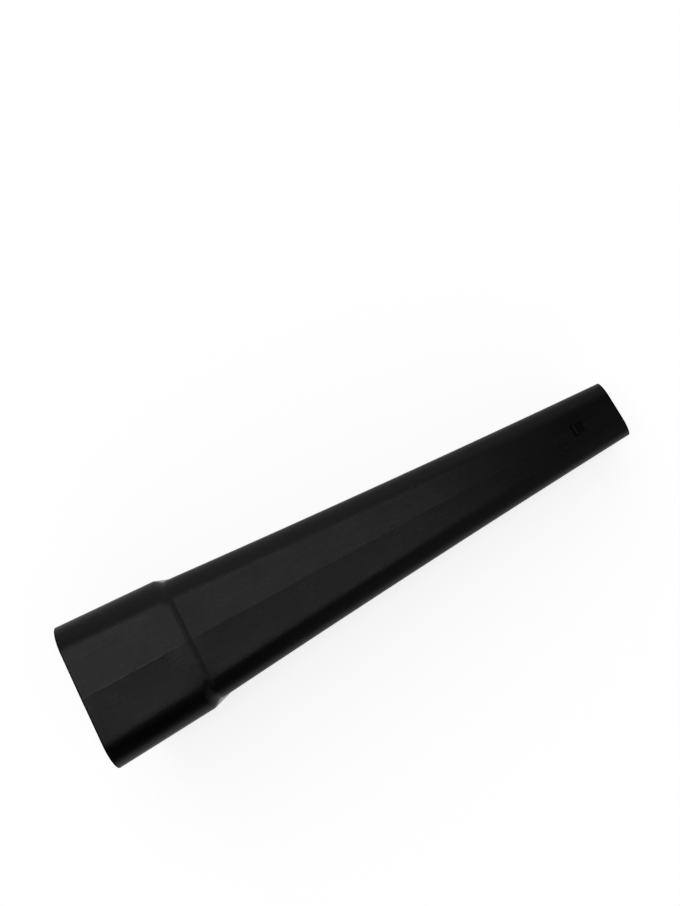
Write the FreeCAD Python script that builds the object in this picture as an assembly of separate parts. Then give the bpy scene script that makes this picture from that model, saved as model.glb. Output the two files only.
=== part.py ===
import FreeCAD, Part
import math
import os

from FreeCAD import Vector

# Leaf blower nozzle tube: one thin plastic moulding. A wide socket fits over the blower's outlet,
# a rounded shoulder steps it down, and a long taper runs to a small mouth with a snap lug on top.
# The tube is first drawn straight along X, socket rim at zero, then laid down as it rests.

# Lengths along the tube, in mm. The shoulder steps in on the sides before it steps down on the faces.
tube_length = 480.0
socket_length = 82.4
side_step_length = 10.5
face_step_start = 6.8
face_step_length = 5.8

# Outside widths
socket_rim_width = 119.0
socket_end_width = 110.1
taper_start_width = 101.2
mouth_width = 49.2

# Outside heights, measured on the parting line
socket_rim_height = 96.0
socket_end_height = 90.4
taper_start_height = 87.2
mouth_height = 44.0

# Corner rounding: how far each corner reaches across the wide face and down the side
socket_corner_across = 21.5
socket_corner_down = 11.6
taper_corner_across = 17.6
taper_corner_down = 9.6
mouth_corner_across = 14.6
mouth_corner_down = 7.2

# Moulded walls
wall = 2.2
rim_round = 0.6
taper_hollow = 1.2
face_draft_deg = 0.4

# Snap lug on the parting line, for a clip-on end piece
lug_from_mouth = 42.4
lug_length = 10.8
lug_width = 10.6
lug_height = 2.5
lug_top_start = 2.1
lug_top_length = 1.0
lug_side_lean = 0.8
lug_round = 0.4
lug_root = 1.0

# Loft stations
rim_steps = 2
shoulder_outside_steps = 6
shoulder_inside_steps = 4
taper_steps = 3

face_step = socket_length + face_step_start
taper_start = face_step + face_step_length
taper_length = tube_length - taper_start
face_fall = math.tan(math.radians(face_draft_deg))
quarter_arc_weight = math.sqrt(0.5)

socket_rim = (socket_rim_width, socket_rim_height, socket_corner_across, socket_corner_down)
socket_end = (socket_end_width, socket_end_height, socket_corner_across, socket_corner_down)
taper_begin = (taper_start_width, taper_start_height, taper_corner_across, taper_corner_down)
mouth = (mouth_width, mouth_height, mouth_corner_across, mouth_corner_down)


def mix(first, second, share):
    return tuple(a + (b - a) * share for a, b in zip(first, second))


def step_share(x, start, length):
    """Smooth step from nought to one over a length."""
    share = min(max((x - start) / length, 0.0), 1.0)
    return share * share * (3.0 - 2.0 * share)


def sizes_at(x):
    """Width, height and corner reach of the outside at x along the tube."""
    along_taper = (x - taper_start) / taper_length
    bow = 4.0 * along_taper * (1.0 - along_taper)
    drawn_in = 2.0 * taper_hollow * bow
    width, height, across, down = mix(taper_begin, mouth, along_taper)
    taper = (width - drawn_in, height - drawn_in, across, down)
    socket = mix(socket_rim, socket_end, x / socket_length)
    width, height, across, down = mix(socket, taper, step_share(x, socket_length, side_step_length))
    face_share = step_share(x, face_step, face_step_length)
    height = mix(socket, taper, face_share)[1]
    return width, height, across, down


def section(x, inset):
    """Closed outline at x: faces falling away from the parting line, sides, four rounded corners."""
    width, height, across, down = sizes_at(x)
    half_width = width / 2.0 - inset
    half_height = height / 2.0 - inset
    across = across - inset
    down = down - inset
    corner_height = half_height - half_width * face_fall
    flat_end = half_width - across
    flat_end_height = half_height - flat_end * face_fall
    side_end = corner_height - down
    edges = []
    for side, face in ((1, 1), (1, -1), (-1, -1), (-1, 1)):
        ridge = Vector(x, 0, face * half_height)
        flat = Vector(x, side * flat_end, face * flat_end_height)
        tip = Vector(x, side * half_width, face * corner_height)
        low = Vector(x, side * half_width, face * side_end)
        corner = Part.BezierCurve()
        corner.setPoles([flat, tip, low])
        corner.setWeight(2, quarter_arc_weight)
        quarter = [Part.makeLine(ridge, flat), corner.toShape()]
        if side == face:
            opposite = Vector(x, side * half_width, -face * side_end)
            edges.extend(quarter + [Part.makeLine(low, opposite)])
        else:
            edges.extend(reversed(quarter))
    return Part.Wire(edges)


def stations(start, end, steps):
    return [start + (end - start) * step / steps for step in range(steps + 1)]


def rim_stations():
    """Places from the very end of the tube to where its rounded rim runs out."""
    turns = stations(0.0, math.pi / 2.0, rim_steps)
    return [rim_round * (1.0 - math.cos(turn)) for turn in turns]


def rim_inset(x):
    """How far the rounded rims draw a face back at x."""
    short = max(rim_round - min(x, tube_length - x), 0.0)
    return rim_round - math.sqrt(rim_round * rim_round - short * short)


def loft(places, inset, towards_wall, straight):
    wires = [section(x, inset + towards_wall * rim_inset(x)) for x in places]
    return Part.makeLoft(wires, True, straight)


def moulded_form(inset, towards_wall, shoulder_steps, straight_shoulder):
    """Solid filled out to one face of the wall, its rims rounded in towards the wall."""
    rim = rim_stations()
    other_rim = [tube_length - x for x in reversed(rim)]
    socket_at = [rim_round, socket_length]
    shoulder_at = stations(socket_length, taper_start, shoulder_steps)
    taper_at = stations(taper_start, tube_length - rim_round, taper_steps)
    pieces = [loft(places, inset, towards_wall, True) for places in (socket_at, taper_at, other_rim)]
    pieces.append(loft(shoulder_at, inset, towards_wall, straight_shoulder))
    return loft(rim, inset, towards_wall, True).fuse(pieces)


def snap_lug():
    """Steep face towards the socket, a short top, and a ramp down towards the mouth."""
    start = tube_length - lug_from_mouth
    face_height = sizes_at(start)[1] / 2.0
    face_drop = face_height - sizes_at(start + lug_length)[1] / 2.0
    half_width = lug_width / 2.0
    top_half_width = half_width - lug_side_lean
    top_end = lug_top_start + lug_top_length
    lug = Part.makeWedge(
        0.0, 0.0, -half_width, -top_half_width, lug_top_start,
        lug_length, lug_height, half_width, top_half_width, top_end,
    )
    top_edges = [edge for edge in lug.Edges if edge.BoundBox.YMin > lug_height / 2.0]
    cross_edges = [edge for edge in top_edges if edge.BoundBox.ZLength > top_half_width]
    lug = lug.makeFillet(lug_round, cross_edges)
    root = Part.makeBox(lug_length, lug_root, lug_width, Vector(0.0, -lug_root, -half_width))
    lug = lug.fuse(root)
    origin = Vector(0.0, 0.0, 0.0)
    lug.rotate(origin, Vector(1.0, 0.0, 0.0), 90.0)
    lug.rotate(origin, Vector(0.0, 1.0, 0.0), math.degrees(math.atan2(face_drop, lug_length)))
    lug.translate(Vector(start, 0.0, face_height))
    return lug


outside = moulded_form(0.0, 1.0, shoulder_outside_steps, False)
inside = moulded_form(wall, -1.0, shoulder_inside_steps, True)
tube = outside.cut(inside).fuse(snap_lug())
tube = tube.Solids[0]

# At rest the tube lies on its lower face where the shoulder steps in and on the mouth's lower rim.
rest_rise = (sizes_at(face_step)[1] - mouth_height) / 2.0
rest_tilt_deg = math.degrees(math.atan2(rest_rise, tube_length - face_step))
tube.rotate(Vector(0.0, 0.0, 0.0), Vector(0.0, 1.0, 0.0), rest_tilt_deg)
box = tube.optimalBoundingBox(False)
tube.translate(Vector(-box.Center.x, 0.0, -box.ZMin))

os.makedirs("parts", exist_ok=True)
tube.exportStep("parts/nozzle_tube.step")
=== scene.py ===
"""Dresses the leaf blower nozzle tube: a fine moulded shell, its black plastic and a plain studio."""

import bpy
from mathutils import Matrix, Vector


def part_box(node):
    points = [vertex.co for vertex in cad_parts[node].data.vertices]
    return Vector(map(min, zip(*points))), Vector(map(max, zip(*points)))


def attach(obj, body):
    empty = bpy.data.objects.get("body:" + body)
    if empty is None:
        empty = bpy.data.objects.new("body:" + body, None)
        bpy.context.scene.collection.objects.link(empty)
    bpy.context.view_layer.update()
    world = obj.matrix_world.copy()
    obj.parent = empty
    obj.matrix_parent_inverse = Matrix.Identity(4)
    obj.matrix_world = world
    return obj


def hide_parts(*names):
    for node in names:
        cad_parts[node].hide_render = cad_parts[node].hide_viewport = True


bl_info = {
    "name": "Blower Nozzle Tube",
    "version": (1, 0, 0),
    "blender": (4, 5, 0),
    "location": "3D View > Sidebar > Nozzle Tube",
    "description": "Builds the moulded tube over its solid, gives it black plastic and sets a plain studio",
    "category": "Object",
}

import math

import bpy
from bpy.props import FloatProperty, FloatVectorProperty, IntProperty, PointerProperty
from mathutils import Matrix, Vector, noise

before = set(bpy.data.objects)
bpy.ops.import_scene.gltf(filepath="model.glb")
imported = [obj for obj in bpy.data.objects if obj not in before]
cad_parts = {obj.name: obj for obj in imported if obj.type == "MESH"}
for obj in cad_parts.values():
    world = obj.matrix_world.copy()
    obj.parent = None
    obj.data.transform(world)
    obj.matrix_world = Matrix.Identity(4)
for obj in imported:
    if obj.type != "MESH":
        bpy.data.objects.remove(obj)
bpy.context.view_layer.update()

NODE = "nozzle_tube"
DULL = "dull"
WHITE = (1.0, 1.0, 1.0, 1.0)

# Shape of every rounded corner, which is a quarter of an ellipse
QUARTER_ARC_WEIGHT = math.sqrt(0.5)

# Steps round a rim's edge, columns over the parting line and rows beside a crease, in their half widths
RIM_STEPS = 5
LINE_STOPS = (0.0, 0.6, 1.2, 2.0, 3.2, 5.0)
CREASE_NEAR, CREASE_FAR = 1.0, 3.0

# How uneven the moulding is: the parting line's mean strength and its change, the panels' change of sink
PARTING_MEAN = 0.7
PARTING_CHANGE = 0.6
PANEL_CHANGE = 0.5

# Power that hollows the lug's ramp a little
RAMP_HOLLOW = 0.1

# Half size of the floor and the camera's film, in metres and millimetres
FLOOR_HALF = 8.0
FILM_WIDTH = 36.0


def length_prop(name, description, default):
    return FloatProperty(name=name, description=description, default=default, unit="LENGTH", precision=5)


def lengths_prop(name, description, default):
    return FloatVectorProperty(name=name, description=description, default=default, size=2, unit="LENGTH")


def angle_prop(name, description, degrees):
    return FloatProperty(name=name, description=description, default=math.radians(degrees), unit="ROTATION")


def angles_prop(name, description, degrees):
    default = tuple(math.radians(angle) for angle in degrees)
    return FloatVectorProperty(name=name, description=description, default=default, size=2, unit="ROTATION")


def place_prop(name, description, default):
    return FloatVectorProperty(name=name, description=description, default=default, size=3, subtype="XYZ")


def colour_prop(name, description, default):
    return FloatVectorProperty(
        name=name, description=description, default=default, size=3, subtype="COLOR", min=0.0, max=1.0
    )


def factor_prop(name, description, default):
    return FloatProperty(
        name=name, description=description, default=default, min=0.0, max=1.0, subtype="FACTOR"
    )


def number_prop(name, description, default):
    return FloatProperty(name=name, description=description, default=default)


def count_prop(name, description, default):
    return IntProperty(name=name, description=description, default=default)


class TubeSizes(bpy.types.PropertyGroup):
    """The tube's driving sizes, the same as its solid's."""

    tube_length: length_prop("Tube length", "Socket rim to mouth", 0.480)
    socket_length: length_prop("Socket length", "Socket rim to shoulder", 0.0824)
    side_step_length: length_prop("Side step length", "Length of the shoulder's step on the sides", 0.0105)
    face_step_start: length_prop("Face step start", "Socket's end to the wide faces' step down", 0.0068)
    face_step_length: length_prop("Face step length", "Length of the step down of the wide faces", 0.0058)
    socket_rim_width: length_prop("Socket rim width", "Outside width at the socket rim", 0.1190)
    socket_end_width: length_prop("Socket end width", "Outside width where the socket ends", 0.1101)
    taper_start_width: length_prop("Taper start width", "Outside width where the taper starts", 0.1012)
    mouth_width: length_prop("Mouth width", "Outside width at the mouth", 0.0492)
    socket_rim_height: length_prop("Socket rim height", "Outside height at the socket rim", 0.0960)
    socket_end_height: length_prop("Socket end height", "Outside height where the socket ends", 0.0904)
    taper_start_height: length_prop("Taper start height", "Outside height where the taper starts", 0.0872)
    mouth_height: length_prop("Mouth height", "Outside height at the mouth", 0.0440)
    socket_corner_across: length_prop("Socket corner across", "Corner reach over the wide face", 0.0215)
    socket_corner_down: length_prop("Socket corner down", "Corner reach down the side", 0.0116)
    taper_corner_across: length_prop("Taper corner across", "Corner reach over the wide face", 0.0176)
    taper_corner_down: length_prop("Taper corner down", "Corner reach down the side", 0.0096)
    mouth_corner_across: length_prop("Mouth corner across", "Corner reach over the wide face", 0.0146)
    mouth_corner_down: length_prop("Mouth corner down", "Corner reach down the side", 0.0072)
    wall: length_prop("Wall", "Thickness of the moulded wall", 0.0022)
    rim_round: length_prop("Rim round", "Radius on the edges of both rims", 0.0006)
    taper_hollow: length_prop("Taper hollow", "How far the taper's sides are drawn in", 0.0012)
    face_draft: angle_prop("Face draft", "Fall of the wide faces", 0.4)


class MouldDetail(bpy.types.PropertyGroup):
    """Small forms that moulding leaves on the outside."""

    panel_sink: length_prop("Panel sink", "How far the flat panels sink as they cool", 0.00030)
    panel_hold: length_prop("Panel hold", "Distance over which rims and shoulder hold the panels up", 0.012)
    face_panel: length_prop("Face panel", "Width of half a wide face that sinks by the full amount", 0.039)
    side_panel: length_prop("Side panel", "Height of half a side that sinks by the full amount", 0.033)
    side_lead: length_prop("Side lead", "How much later the sides start and sooner they end", 0.0011)
    shoulder_fall: length_prop("Shoulder fall", "How much further down shoulder corners reach", 0.0015)
    step_late: length_prop("Step late", "How much later the wide faces start their step", 0.0003)
    step_lead: length_prop("Step lead", "Rounding where the wide faces begin to step down", 0.0010)
    step_end: length_prop("Step end", "Tighter rounding where that step meets the taper", 0.0007)
    parting_height: length_prop("Parting line height", "Height of the parting line", 0.00002)
    parting_width: length_prop("Parting line width", "Half width of the parting line", 0.00026)
    lug_from_mouth: length_prop("Lug from mouth", "Mouth to the lug's steep face", 0.0424)
    lug_length: length_prop("Lug length", "Length of the lug along the tube", 0.0108)
    lug_width: length_prop("Lug width", "Width of the lug at its foot", 0.0106)
    lug_height: length_prop("Lug height", "Height of the lug", 0.0025)
    lug_top_start: length_prop("Lug top start", "Lean of the steep face", 0.0021)
    lug_top_length: length_prop("Lug top length", "Length of the lug's flat top", 0.0010)
    lug_side_lean: length_prop("Lug side lean", "Lean of the lug's sides", 0.0012)
    lug_dish: length_prop("Lug dish", "How far the lug's top sinks between its sides", 0.00015)
    lug_softness: length_prop("Lug softness", "Rounding of the lug's edges", 0.00012)
    lug_crease: length_prop("Lug crease", "Half width of the sharp crease at the lug's foot", 0.00002)
    rim_dull: length_prop("Rim dull", "Width of the trimmed, dull edge of each rim", 0.0010)
    rim_dull_fade: length_prop("Rim dull fade", "Width over which that dullness fades", 0.0004)
    lug_dull_slope: number_prop("Lug dull slope", "Slope at which the lug's faces are fully dull", 0.45)
    row_step: length_prop("Row step", "Spacing of the shell's rows", 0.0035)
    fine_step: length_prop("Fine step", "Spacing of rows and columns on the lug and the shoulder", 0.00035)
    corner_steps: count_prop("Corner steps", "Faces round one corner", 14)
    side_steps: count_prop("Side steps", "Faces down half a side", 5)
    face_steps: count_prop("Face steps", "Faces from the lug to the corner", 8)


class PlasticLook(bpy.types.PropertyGroup):
    """Colour and surface of the black plastic, with a painted highlight along the parting line."""

    black: colour_prop("Black", "Colour of the plastic", (0.0010, 0.0010, 0.0010))
    scuffed: colour_prop("Scuffed", "Colour of rubbed and scratched plastic", (0.020, 0.020, 0.020))
    scuff_share: factor_prop("Scuff share", "How much of that colour a rubbed line takes", 0.12)
    # The seam settings paint a highlight along the parting ridge as a pale line: strong on the socket,
    # faint on the taper
    seam: colour_prop("Seam", "Colour of the trimmed parting line", (0.080, 0.080, 0.078))
    seam_core: length_prop("Seam core", "Half width of the pale line where it is full", 0.00018)
    seam_edge: length_prop("Seam edge", "Half width where the pale line ends", 0.00042)
    seam_wander: length_prop("Seam wander", "How far the pale line strays from side to side", 0.0005)
    socket_seam_highlight: factor_prop("Seam worn", "Strength of the pale line on the socket", 0.9)
    taper_seam_highlight: factor_prop("Seam faint", "Strength of the pale line on the taper", 0.11)
    socket_seam_highlight_end: length_prop("Seam worn end", "Where along the tube the rubbed line ends", -0.162)
    socket_seam_highlight_fade: length_prop("Seam worn fade", "Length over which that ends", 0.012)
    dust: colour_prop("Dust", "Colour of dust specks", (0.045, 0.045, 0.044))
    dust_share: factor_prop("Dust share", "How much of that colour a speck takes", 0.8)
    roughness: factor_prop("Roughness", "Mean roughness of the moulded skin", 0.28)
    cloud: factor_prop("Cloud", "Change of roughness in broad clouds", 0.10)
    streak: factor_prop("Streak", "Change of roughness in flow streaks along the tube", 0.06)
    gloss: factor_prop("Gloss", "Mean specular level of the moulded skin", 0.27)
    smudge: factor_prop("Smudge", "Share of the gloss that changes in smudges", 0.16)
    mottle: factor_prop("Mottle", "Share of the gloss that changes in fine mottle", 0.40)
    dull_loss: factor_prop("Dull loss", "Share of the gloss that dull parts lose", 0.85)
    grain: factor_prop("Grain", "Strength of the fine moulded grain", 0.12)
    grain_depth: length_prop("Grain depth", "Depth of the fine moulded grain", 0.0003)
    sheen: factor_prop("Sheen", "Faint pale bloom that shows towards the edges", 0.03)
    sheen_roughness: factor_prop("Sheen roughness", "Softness of that bloom", 0.3)


class StageLook(bpy.types.PropertyGroup):
    """Floor, lights and camera."""

    floor: colour_prop("Floor", "Colour of the floor", (0.60, 0.60, 0.60))
    floor_glow: factor_prop("Floor glow", "White added to the floor as the camera sees it", 0.78)
    camera_place: place_prop("Camera place", "Where the camera stands", (0.04387, -0.00718, 0.62808))
    camera_aim: place_prop("Camera aim", "Point at the middle of the picture", (0.02591, 0.07648, 0.05000))
    camera_heading: angle_prop("Camera heading", "Way over the floor that is up in the picture", 61.44)
    lens: FloatProperty(name="Lens", description="Focal length", default=27.88, unit="CAMERA")
    strip_place: place_prop("Strip place", "Where the two overhead boxes meet", (-0.70, 0.2975, 4.00))
    strip_lengths: lengths_prop("Strip lengths", "Lengths of the boxes over socket and taper", (2.30, 2.06))
    strip_width: length_prop("Strip width", "Width of both overhead boxes", 0.84)
    strip_turn: angle_prop("Strip turn", "Turn of the overhead boxes over the floor", -2.2)
    strip_light: FloatVectorProperty(
        name="Strip light", description="Brightness of the boxes over socket and taper",
        default=(2.25, 1.60), size=2,
    )
    far_way: place_prop("Far way", "Direction of the soft light beyond the tube", (0.0885, 0.6814, 0.7266))
    far_fade: angles_prop("Far fade", "Angles where that light starts to fade and ends", (16.0, 42.0))
    far_light: number_prop("Far light", "Brightness of the light beyond the tube", 0.61)
    near_way: place_prop("Near way", "Direction of the near side's dim light", (0.5553, -0.5178, 0.6508))
    near_fade: angles_prop("Near fade", "Angles where that light starts to fade and ends", (26.0, 37.5))
    near_light: number_prop("Near light", "Brightness of the dim light", 0.24)
    wall_light: number_prop("Wall light", "Brightness of the two side walls", 0.42)
    wall_start: factor_prop("Wall start", "Sideways part of a direction where the side walls begin", 0.717)
    horizon_top: factor_prop("Horizon top", "Sine of the angle where the pale horizon starts to fade", 0.15)
    horizon_end: factor_prop("Horizon end", "Sine of the angle where the pale horizon ends", 0.46)


def mix(first, second, share):
    """Each value a share of the way from the first to the second."""
    return tuple(a + (b - a) * share for a, b in zip(first, second))


def smooth(share):
    """Step from nought to one with a soft start and end."""
    share = min(max(share, 0.0), 1.0)
    return share * share * (3.0 - 2.0 * share)


def rounded_ramp(x, run, lead, end):
    """Rise from nought to one over a run: rounded at its start, straight, then rounded more tightly."""
    slope = 1.0 / (run - (lead + end) / 2.0)
    if x <= 0.0 or x >= run:
        return 0.0 if x <= 0.0 else 1.0
    if x < lead:
        return slope * x * x / (2.0 * lead)
    if x > run - end:
        return 1.0 - slope * (run - x) ** 2 / (2.0 * end)
    return slope * (x - lead / 2.0)


def drift(x, per_metre, seed, layer):
    """Slow change along the tube, about nought, with so many swings to a metre."""
    return noise.noise(Vector((x * per_metre, seed, layer)))


def shoulder_places(tube):
    """Where the shoulder starts, where the wide faces begin to step down and where the taper starts."""
    face_step = tube.socket_length + tube.face_step_start
    return tube.socket_length, face_step, face_step + tube.face_step_length


def outside_sizes(tube, detail, x):
    """Width, height and corner reach of the outside at x along the tube."""
    shoulder, face_step, taper_start = shoulder_places(tube)
    along = (x - taper_start) / (tube.tube_length - taper_start)
    drawn_in = 2.0 * tube.taper_hollow * 4.0 * along * (1.0 - along)
    begin = (
        tube.taper_start_width, tube.taper_start_height, tube.taper_corner_across, tube.taper_corner_down,
    )
    mouth = (tube.mouth_width, tube.mouth_height, tube.mouth_corner_across, tube.mouth_corner_down)
    width, height, across, down = mix(begin, mouth, along)
    taper = (width - drawn_in, height - drawn_in, across, down)
    corner = (tube.socket_corner_across, tube.socket_corner_down)
    rim = (tube.socket_rim_width, tube.socket_rim_height) + corner
    end = (tube.socket_end_width, tube.socket_end_height) + corner
    socket = mix(rim, end, x / shoulder)
    side_run = tube.side_step_length - 2.0 * detail.side_lead
    sides = smooth((x - shoulder - detail.side_lead) / side_run)
    face_run = tube.face_step_length - detail.step_late
    faces = rounded_ramp(x - face_step - detail.step_late, face_run, detail.step_lead, detail.step_end)
    width = mix(socket, taper, sides)[0]
    height, across, down = mix(socket, taper, faces)[1:]
    down += detail.shoulder_fall * sides * (1.0 - faces)
    return width, height, across, down


def steps_between(start, end, step):
    """Even places from start up to, but not at, end."""
    count = max(1, round((end - start) / step))
    return [start + (end - start) * i / count for i in range(count)]


def rim_curve(tube, at_mouth, outer):
    """Rounded edge of a rim as pairs of x and inset, from the flat of the rim outwards or inwards."""
    pairs = []
    for i in range(RIM_STEPS + 1):
        turn = math.pi / 2.0 * i / RIM_STEPS
        x = tube.rim_round * (1.0 - math.cos(turn))
        inset = tube.rim_round * (1.0 - math.sin(turn))
        pairs.append((tube.tube_length - x if at_mouth else x, inset if outer else tube.wall - inset))
    return pairs


def wall_path(tube, detail):
    """Closed path round the wall's cut profile, as pairs of x and inset."""
    shoulder, face_step, taper = shoulder_places(tube)
    rim_rows = [detail.rim_dull, detail.rim_dull + detail.rim_dull_fade]
    mouth_rows = [tube.tube_length - x for x in reversed(rim_rows)]
    lug = tube.tube_length - detail.lug_from_mouth
    apron = 4.0 * detail.fine_step
    near = CREASE_NEAR * detail.lug_crease
    far = CREASE_FAR * detail.lug_crease
    outer = rim_rows + steps_between(rim_rows[-1], shoulder, detail.row_step)[1:]
    outer += steps_between(shoulder, taper, detail.fine_step)
    outer += steps_between(taper, lug - apron, detail.row_step)
    for start, end in ((lug - apron, lug), (lug, lug + detail.lug_length + apron)):
        outer.append(start + near)
        outer += steps_between(start + far, end - far, detail.fine_step)
        outer += [end - far, end - near]
    outer += steps_between(outer[-1], mouth_rows[0], detail.row_step)[1:] + mouth_rows
    inner = rim_rows + steps_between(rim_rows[-1], shoulder, 2.0 * detail.row_step)[1:]
    inner += steps_between(shoulder, taper, 3.0 * detail.fine_step)
    inner += steps_between(taper, mouth_rows[0], 2.0 * detail.row_step) + mouth_rows
    path = rim_curve(tube, False, True)
    path += [(x, 0.0) for x in outer]
    path += reversed(rim_curve(tube, True, True))
    path += rim_curve(tube, True, False)
    path += [(x, tube.wall) for x in reversed(inner)]
    path += reversed(rim_curve(tube, False, False))
    return path


def face_stops(detail):
    """Distances from the parting line that every row keeps, close together on the line and the lug."""
    near = CREASE_NEAR * detail.lug_crease
    far = CREASE_FAR * detail.lug_crease
    lug_edge = detail.lug_width / 2.0
    stops = [detail.parting_width * stop for stop in LINE_STOPS]
    stops += steps_between(stops[-1], lug_edge - far, 1.3 * detail.fine_step)[1:]
    stops += [lug_edge + step for step in (-far, -near, near, far)]
    stops.append(lug_edge + 2.0 * detail.fine_step)
    return stops


def soft_min(values, softness):
    """Least of the values, rounded over where two are close."""
    least = min(values)
    return least - softness * math.log(sum(math.exp((least - v) / softness) for v in values))


def lug_rise(tube, detail, x, y):
    """Height of the snap lug over the wide face."""
    along = x - (tube.tube_length - detail.lug_from_mouth)
    ramp_length = detail.lug_length - detail.lug_top_start - detail.lug_top_length
    left = (detail.lug_length - along) / ramp_length
    half_width = detail.lug_width / 2.0
    steep = detail.lug_height * along / detail.lug_top_start
    ramp = detail.lug_height * left * abs(left) ** RAMP_HOLLOW
    side = detail.lug_height * (half_width - abs(y)) / detail.lug_side_lean
    far_below = -2.0 * detail.lug_height
    if min(steep, ramp, side) < far_below:
        return 0.0
    dish = detail.lug_dish * (1.0 - (y / half_width) ** 2)
    rise = soft_min((steep, ramp - dish, side, detail.lug_height - dish), detail.lug_softness)
    return max(rise, 0.0)


def dull_share(tube, detail, point, outer):
    """How dull the skin is: the trimmed rims and the sloping faces of the lug have no shine."""
    from_rim = min(point.x, tube.tube_length - point.x)
    rim = 1.0 - smooth((from_rim - detail.rim_dull) / detail.rim_dull_fade)
    if not outer or point.z < 0.0 or abs(point.y) > detail.lug_width:
        return rim
    nudge = detail.lug_crease
    here = lug_rise(tube, detail, point.x, point.y)
    along = abs(lug_rise(tube, detail, point.x + nudge, point.y) - here) / nudge
    across = abs(lug_rise(tube, detail, point.x, point.y + nudge) - here) / nudge
    return max(rim, smooth(max(along, across) / detail.lug_dull_slope))


def parting_rise(detail, x, y, face):
    """Height of the parting line, which wanders and fades along the tube."""
    wander = detail.parting_width * drift(x, per_metre=90.0, seed=3.0 * face, layer=0.0)
    strength = PARTING_MEAN + PARTING_CHANGE * drift(x, per_metre=45.0, seed=7.0 * face, layer=1.0)
    off = (y - wander) / detail.parting_width
    return detail.parting_height * strength * math.exp(-off * off)


def panel_fall(tube, detail, x, share, seed):
    """How far a flat panel has sunk at a share of its width; the rims and the shoulder hold it up."""
    shoulder, face_step, taper = shoulder_places(tube)
    from_ends = min(x, tube.tube_length - x) / detail.panel_hold
    from_shoulder = max(shoulder - x, x - taper) / detail.panel_hold
    held = smooth(from_ends) * smooth(from_shoulder)
    uneven = 1.0 + PANEL_CHANGE * drift(x, per_metre=22.0, seed=seed, layer=0.5)
    return detail.panel_sink * held * uneven * 4.0 * share * (1.0 - share)


def corner_points(flat, tip, low, steps):
    """Points round one corner, from the end of the wide face to the top of the side."""
    points = []
    for i in range(1, steps + 1):
        t = i / steps
        weights = ((1.0 - t) ** 2, 2.0 * t * (1.0 - t) * QUARTER_ARC_WEIGHT, t * t)
        total = sum(weights)
        y = sum(w * p[0] for w, p in zip(weights, (flat, tip, low))) / total
        z = sum(w * p[1] for w, p in zip(weights, (flat, tip, low))) / total
        points.append((y, z))
    return points


def quarter(tube, detail, stops, x, inset, side, face):
    """Points of one quarter of the section, from the parting line out to the middle of the side."""
    width, height, across, down = outside_sizes(tube, detail, x)
    fall = math.tan(tube.face_draft)
    half_width = width / 2.0 - inset
    half_height = height / 2.0 - inset
    flat_end = half_width - across + inset
    tip_height = half_height - half_width * fall
    low_height = tip_height - down + inset
    outer = inset < tube.wall / 2.0
    face_sink = (flat_end / detail.face_panel) ** 2
    side_sink = (low_height / detail.side_panel) ** 2
    face_seed = 5.0 * side + 11.0 * face
    side_seed = 17.0 * side

    shares = [i / detail.face_steps for i in range(1, detail.face_steps + 1)]
    points = []
    for y in stops + [stops[-1] + (flat_end - stops[-1]) * share for share in shares]:
        z = half_height - y * fall
        if outer:
            z -= face_sink * panel_fall(tube, detail, x, y / flat_end, face_seed)
            z += parting_rise(detail, x, side * y, face)
        if outer and face > 0:
            z += lug_rise(tube, detail, x, y)
        points.append((y, z))

    flat = (flat_end, half_height - flat_end * fall)
    points += corner_points(flat, (half_width, tip_height), (half_width, low_height), detail.corner_steps)

    for i in range(1, detail.side_steps + 1):
        z = low_height * (1.0 - i / detail.side_steps)
        y = half_width
        if outer:
            y -= side_sink * panel_fall(tube, detail, x, 0.5 - 0.5 * z / low_height, side_seed)
        points.append((y, z))
    return [Vector((x, side * y, face * z)) for y, z in points]


def section_ring(tube, detail, stops, x, inset):
    """One closed ring of points round the tube."""
    ring = quarter(tube, detail, stops, x, inset, 1, 1)
    ring += quarter(tube, detail, stops, x, inset, 1, -1)[-2::-1]
    ring += quarter(tube, detail, stops, x, inset, -1, -1)[1:]
    ring += quarter(tube, detail, stops, x, inset, -1, 1)[-2:0:-1]
    return ring


def ring_faces(rings, count):
    """Faces between neighbouring rings of so many points, the last ring joined to the first."""
    faces = []
    for i in range(rings):
        row = i * count
        following = (i + 1) % rings * count
        for j in range(count):
            k = (j + 1) % count
            faces.append((row + j, following + j, following + k, row + k))
    return faces


def rest_turn(tube, detail):
    """Turn that lays the tube on its shoulder and mouth."""
    shoulder, face_step, taper = shoulder_places(tube)
    rise = (outside_sizes(tube, detail, face_step)[1] - tube.mouth_height) / 2.0
    return Matrix.Rotation(math.atan2(rise, tube.tube_length - face_step), 3, "Y")


def set_in_box(points):
    """Points set on the floor of the solid's box, and drawn in where they would pass it."""
    low = [min(p[axis] for p in points) for axis in range(3)]
    high = [max(p[axis] for p in points) for axis in range(3)]
    box_low, box_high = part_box(NODE)
    scale = [min(1.0, (box_high[i] - box_low[i]) / (high[i] - low[i])) for i in range(3)]
    own = Vector(((low[0] + high[0]) / 2.0, (low[1] + high[1]) / 2.0, low[2]))
    spot = Vector(((box_low[0] + box_high[0]) / 2.0, (box_low[1] + box_high[1]) / 2.0, box_low[2]))
    return [spot + Vector(step * part for step, part in zip(point - own, scale)) for point in points]


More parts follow.
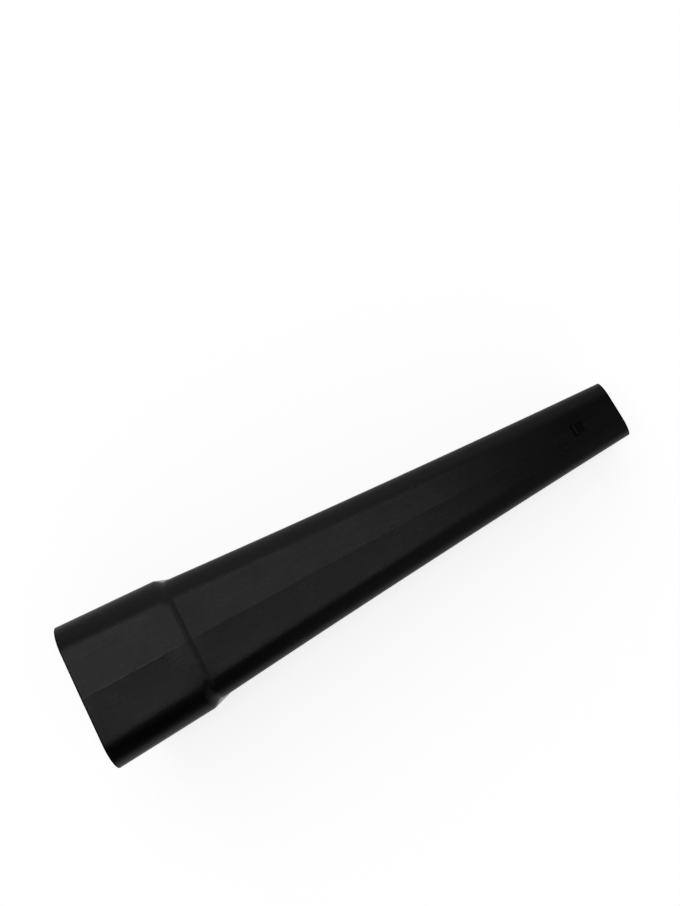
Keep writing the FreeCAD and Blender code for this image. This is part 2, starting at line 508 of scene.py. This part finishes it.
def shell_mesh(tube, detail):
    """Closed shell of rings along the wall's profile, laid at rest and kept inside the solid's box."""
    stops = face_stops(detail)
    path = wall_path(tube, detail)
    rings = [section_ring(tube, detail, stops, x, inset) for x, inset in path]
    outer = [inset < tube.wall / 2.0 for x, inset in path]
    turn = rest_turn(tube, detail)
    points = set_in_box([turn @ point for ring in rings for point in ring])
    mesh = bpy.data.meshes.new("moulded_shell")
    mesh.from_pydata(points, [], ring_faces(len(rings), len(rings[0])))
    shares = [dull_share(tube, detail, point, out) for ring, out in zip(rings, outer) for point in ring]
    mesh.attributes.new(DULL, "FLOAT", "POINT").data.foreach_set("value", shares)
    if mesh.validate():
        raise RuntimeError("the moulded shell has faces that do not fit together")
    mesh.shade_smooth()
    return mesh


class Nodes:
    """Short hand for building one material's nodes."""

    def __init__(self, tree):
        self.tree = tree
        self.tree.nodes.clear()

    def add(self, kind, **inputs):
        node = self.tree.nodes.new(kind)
        for name, value in inputs.items():
            self.set(node, name.replace("_", " "), value)
        return node

    def set(self, node, name, value):
        if isinstance(value, bpy.types.NodeSocket):
            self.tree.links.new(value, node.inputs[name])
        else:
            node.inputs[name].default_value = value

    def math(self, operation, first, second):
        node = self.tree.nodes.new("ShaderNodeMath")
        node.operation = operation
        self.set(node, 0, first)
        self.set(node, 1, second)
        return node.outputs[0]

    def blend(self, share, first, second):
        node = self.tree.nodes.new("ShaderNodeMix")
        node.data_type = "RGBA"
        for index, value in ((0, share), (6, first), (7, second)):
            self.set(node, index, value)
        return node.outputs[2]

    def band(self, value, start, end):
        """Zero below start, one above end."""
        node = self.tree.nodes.new("ShaderNodeMapRange")
        node.interpolation_type = "SMOOTHSTEP"
        for index, number in ((0, value), (1, start), (2, end)):
            self.set(node, index, number)
        return node.outputs[0]

    def noise(self, where, scale=1.0, detail=2.0):
        node = self.add("ShaderNodeTexNoise", Vector=where, Scale=scale, Detail=detail)
        return node.outputs["Fac"]

    def stretched(self, where, scale, turn=(0.0, 0.0, 0.0)):
        return self.add("ShaderNodeMapping", Vector=where, Scale=scale, Rotation=turn).outputs[0]

    def attribute(self, name):
        node = self.tree.nodes.new("ShaderNodeAttribute")
        node.attribute_name = name
        return node.outputs["Fac"]


def rgba(value):
    """Colour with full opacity."""
    return (value[0], value[1], value[2], 1.0)


def scuff_lines(nodes, where):
    """Fine rubbed lines along the tube, in a few patches."""
    stretched = nodes.stretched(where, scale=(9.0, 420.0, 0.0), turn=(0.0, 0.0, 0.35))
    lines = nodes.band(nodes.noise(stretched, detail=1.0), start=0.72, end=0.78)
    patches = nodes.band(nodes.noise(where, scale=19.0), start=0.55, end=0.72)
    return nodes.math("MULTIPLY", lines, patches)


def dust_specks(nodes, where):
    """Round specks of uneven size, one to a cell at most."""
    cell = nodes.add("ShaderNodeTexVoronoi", Vector=where, Scale=150.0)
    spread = nodes.band(nodes.noise(where, scale=60.0, detail=0.0), start=0.35, end=0.9)
    radius = nodes.math("MULTIPLY", spread, 0.10)
    return nodes.math("LESS_THAN", cell.outputs["Distance"], radius)


def painted_seam_highlight(nodes, where, look, dull):
    """Painted highlight along the parting ridge as a pale line: strong on the socket, faint on the taper,
    broken in places, none on the lug.
    """
    along = nodes.add("ShaderNodeSeparateXYZ", Vector=where)
    sway = nodes.math("SUBTRACT", nodes.noise(where, scale=160.0), 0.5)
    middle = nodes.math("ADD", along.outputs["Y"], nodes.math("MULTIPLY", sway, look.seam_wander))
    off = nodes.math("ABSOLUTE", middle, 0.0)
    line = nodes.math("SUBTRACT", 1.0, nodes.band(off, start=look.seam_core, end=look.seam_edge))
    lengths = nodes.noise(nodes.stretched(where, scale=(95.0, 0.0, 0.0)), detail=3.0)
    # The painted highlight is strong on the socket and fades to faint on the taper
    highlight = nodes.add(
        "ShaderNodeMapRange", Value=along.outputs["X"], From_Min=look.socket_seam_highlight_end,
        From_Max=look.socket_seam_highlight_end + look.socket_seam_highlight_fade, To_Min=look.socket_seam_highlight, To_Max=look.taper_seam_highlight,
    )
    strength = nodes.math("MULTIPLY", nodes.band(lengths, start=0.28, end=0.70), highlight.outputs[0])
    return nodes.math("MULTIPLY", nodes.math("MULTIPLY", line, strength), nodes.math("SUBTRACT", 1.0, dull))


def uneven_sum(nodes, mean, first, second):
    """Mean value changed by two noises, each given with the size of its change."""
    change = nodes.math("ADD", nodes.math("MULTIPLY", *first), nodes.math("MULTIPLY", *second))
    return nodes.math("ADD", change, mean - 0.5 * (first[1] + second[1]))


def black_plastic(look):
    """Satin black moulding: fine grain, faint flow streaks, light scuffs, a few dust specks and a painted
    highlight along the parting line.
    """
    material = bpy.data.materials.new("black_moulded_plastic")
    material.use_nodes = True
    nodes = Nodes(material.node_tree)
    where = nodes.add("ShaderNodeTexCoord").outputs["Object"]
    dull = nodes.attribute(DULL)

    scuff = nodes.math("MULTIPLY", scuff_lines(nodes, where), look.scuff_share)
    dust = nodes.math("MULTIPLY", dust_specks(nodes, where), look.dust_share)
    base = nodes.blend(scuff, rgba(look.black), rgba(look.scuffed))
    # Painted highlight: a pale line along the parting ridge
    base = nodes.blend(painted_seam_highlight(nodes, where, look, dull), base, rgba(look.seam))
    base = nodes.blend(dust, base, rgba(look.dust))

    clouds = nodes.noise(where, scale=28.0, detail=3.0)
    streaks = nodes.noise(nodes.stretched(where, scale=(6.0, 260.0, 260.0)))
    rough = uneven_sum(nodes, look.roughness, (clouds, look.cloud), (streaks, look.streak))

    smudges = nodes.noise(where, scale=150.0)
    mottles = nodes.noise(where, scale=850.0)
    shine = uneven_sum(nodes, 1.0, (smudges, look.smudge), (mottles, look.mottle))
    kept = nodes.math("SUBTRACT", 1.0, nodes.math("MULTIPLY", dull, look.dull_loss))
    shine = nodes.math("MULTIPLY", nodes.math("MULTIPLY", shine, look.gloss), kept)

    grain = nodes.math("ADD", nodes.noise(where, scale=1900.0), nodes.noise(where, scale=620.0))
    bump = nodes.add("ShaderNodeBump", Strength=look.grain, Distance=look.grain_depth, Height=grain)

    shader = nodes.add(
        "ShaderNodeBsdfPrincipled", Base_Color=base, Roughness=rough, Normal=bump.outputs[0], IOR=1.5,
        Specular_IOR_Level=shine, Sheen_Weight=look.sheen, Sheen_Roughness=look.sheen_roughness,
    )
    nodes.add("ShaderNodeOutputMaterial", Surface=shader.outputs[0])
    return material


def pale_floor(look):
    """Pale floor that takes a soft shadow and shows white to the camera and in reflections."""
    material = bpy.data.materials.new("pale_floor")
    material.use_nodes = True
    nodes = Nodes(material.node_tree)
    path = nodes.add("ShaderNodeLightPath")
    seen = nodes.math("MAXIMUM", path.outputs["Is Camera Ray"], path.outputs["Is Glossy Ray"])
    seen = nodes.math("MAXIMUM", seen, path.outputs["Is Transmission Ray"])
    matt = nodes.add("ShaderNodeBsdfDiffuse", Color=rgba(look.floor))
    glow = nodes.add("ShaderNodeEmission", Strength=nodes.math("MULTIPLY", seen, look.floor_glow))
    both = nodes.tree.nodes.new("ShaderNodeAddShader")
    nodes.set(both, 0, matt.outputs[0])
    nodes.set(both, 1, glow.outputs[0])
    nodes.add("ShaderNodeOutputMaterial", Surface=both.outputs[0])
    return material


def show(thing):
    """Put an object into the scene."""
    bpy.context.scene.collection.objects.link(thing)
    return thing


def looking(spot, aim, heading):
    """Turn of a lamp or camera at spot that looks at aim, with its top towards the heading."""
    forward = (Vector(aim) - Vector(spot)).normalized()
    right = forward.cross(Vector(heading)).normalized()
    up = right.cross(forward)
    turn = Matrix((right, up, -forward)).transposed()
    return Matrix.Translation(spot) @ turn.to_4x4()


def overhead_boxes(look):
    """Two soft boxes end to end over the tube, the one over the socket brighter."""
    along = Vector((math.cos(look.strip_turn), math.sin(look.strip_turn), 0.0))
    across = Vector((-along.y, along.x, 0.0))
    down = Vector((0.0, 0.0, -1.0))
    names = ("socket_box", "taper_box")
    for name, way, run, brightness in zip(names, (-0.5, 0.5), look.strip_lengths, look.strip_light):
        spot = Vector(look.strip_place) + along * way * run
        lamp = bpy.data.lights.new(name, "AREA")
        lamp.shape = "RECTANGLE"
        lamp.size = run
        lamp.size_y = look.strip_width
        lamp.energy = brightness * math.pi * run * look.strip_width
        holder = show(bpy.data.objects.new(name, lamp))
        holder.matrix_world = looking(spot, spot + down, across)
        holder.visible_camera = False


def soft_patch(nodes, way, toward, fade, light):
    """Round soft patch of light, full within the first angle of its fade and gone at the second."""
    agree = nodes.tree.nodes.new("ShaderNodeVectorMath")
    agree.operation = "DOT_PRODUCT"
    nodes.set(agree, 0, way)
    nodes.set(agree, 1, toward)
    share = nodes.band(agree.outputs["Value"], math.cos(fade[1]), math.cos(fade[0]))
    return nodes.math("MULTIPLY", share, light)


def plain_world(look):
    """Pale horizon all round, two side walls, a soft light beyond the tube and a dim one before it."""
    world = bpy.data.worlds.new("plain_studio")
    bpy.context.scene.world = world
    world.use_nodes = True
    nodes = Nodes(world.node_tree)
    way = nodes.add("ShaderNodeTexCoord").outputs["Generated"]
    parts = nodes.add("ShaderNodeSeparateXYZ", Vector=way)
    sideways = nodes.math("ABSOLUTE", parts.outputs["Y"], 0.0)
    walls = nodes.math("MULTIPLY", nodes.band(sideways, look.wall_start, 1.0), look.wall_light)
    far = soft_patch(nodes, way, look.far_way, look.far_fade, look.far_light)
    near = soft_patch(nodes, way, look.near_way, look.near_fade, look.near_light)
    sky = nodes.math("ADD", walls, nodes.math("ADD", far, near))
    over = nodes.band(parts.outputs["Z"], look.horizon_top, look.horizon_end)
    light = nodes.math("ADD", nodes.math("MULTIPLY", nodes.math("SUBTRACT", sky, 1.0), over), 1.0)
    background = nodes.add("ShaderNodeBackground", Color=WHITE, Strength=light)
    nodes.add("ShaderNodeOutputWorld", Surface=background.outputs[0])


def floor_mesh(look):
    """Flat square floor under the tube."""
    mesh = bpy.data.meshes.new("floor")
    corners = [(x * FLOOR_HALF, y * FLOOR_HALF, 0.0) for x, y in ((-1, -1), (1, -1), (1, 1), (-1, 1))]
    mesh.from_pydata(corners, [], [(0, 1, 2, 3)])
    mesh.materials.append(pale_floor(look))
    return mesh


def standing_camera(look):
    """Camera over the tube, as the picture was taken."""
    camera = bpy.data.cameras.new("camera")
    camera.lens = look.lens
    camera.sensor_width = FILM_WIDTH
    camera.dof.use_dof = False
    holder = show(bpy.data.objects.new("camera", camera))
    heading = (math.cos(look.camera_heading), math.sin(look.camera_heading), 0.0)
    holder.matrix_world = looking(look.camera_place, look.camera_aim, heading)
    return holder


class TUBE_OT_moulded_shell(bpy.types.Operator):
    """Build the moulded shell in place of the plain solid and give it its plastic"""

    bl_idname = "nozzle_tube.moulded_shell"
    bl_label = "Moulded Shell"

    def execute(self, context):
        scene = context.scene
        mesh = shell_mesh(scene.tube_sizes, scene.mould_detail)
        mesh.materials.append(black_plastic(scene.plastic_look))
        shell = show(bpy.data.objects.new("moulded_shell", mesh))
        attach(shell, "root")
        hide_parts(NODE)
        return {"FINISHED"}


class TUBE_OT_stage(bpy.types.Operator):
    """Set the floor, the soft lights and the camera"""

    bl_idname = "nozzle_tube.stage"
    bl_label = "Stage"

    def execute(self, context):
        scene = context.scene
        look = scene.stage_look
        floor = show(bpy.data.objects.new("floor", floor_mesh(look)))
        overhead_boxes(look)
        plain_world(look)
        scene.camera = standing_camera(look)
        scene.view_settings.view_transform = "Standard"
        return {"FINISHED"}


class TUBE_PT_panel(bpy.types.Panel):
    """Steps that dress the tube, with their sizes and colours"""

    bl_label = "Nozzle Tube"
    bl_idname = "TUBE_PT_panel"
    bl_space_type = "VIEW_3D"
    bl_region_type = "UI"
    bl_category = "Nozzle Tube"

    def draw(self, context):
        layout = self.layout
        for operator in (TUBE_OT_moulded_shell, TUBE_OT_stage):
            layout.operator(operator.bl_idname)
        for name, group in GROUPS.items():
            for field in group.__annotations__:
                layout.prop(getattr(context.scene, name), field)


GROUPS = {
    "tube_sizes": TubeSizes,
    "mould_detail": MouldDetail,
    "plastic_look": PlasticLook,
    "stage_look": StageLook,
}
CLASSES = (*GROUPS.values(), TUBE_OT_moulded_shell, TUBE_OT_stage, TUBE_PT_panel)


def register():
    for cls in CLASSES:
        bpy.utils.register_class(cls)
    for name, group in GROUPS.items():
        setattr(bpy.types.Scene, name, PointerProperty(type=group))


def unregister():
    for name in GROUPS:
        delattr(bpy.types.Scene, name)
    for cls in reversed(CLASSES):
        bpy.utils.unregister_class(cls)


def main():
    register()
    bpy.ops.nozzle_tube.moulded_shell()
    bpy.ops.nozzle_tube.stage()


if __name__ == "__main__":
    main()
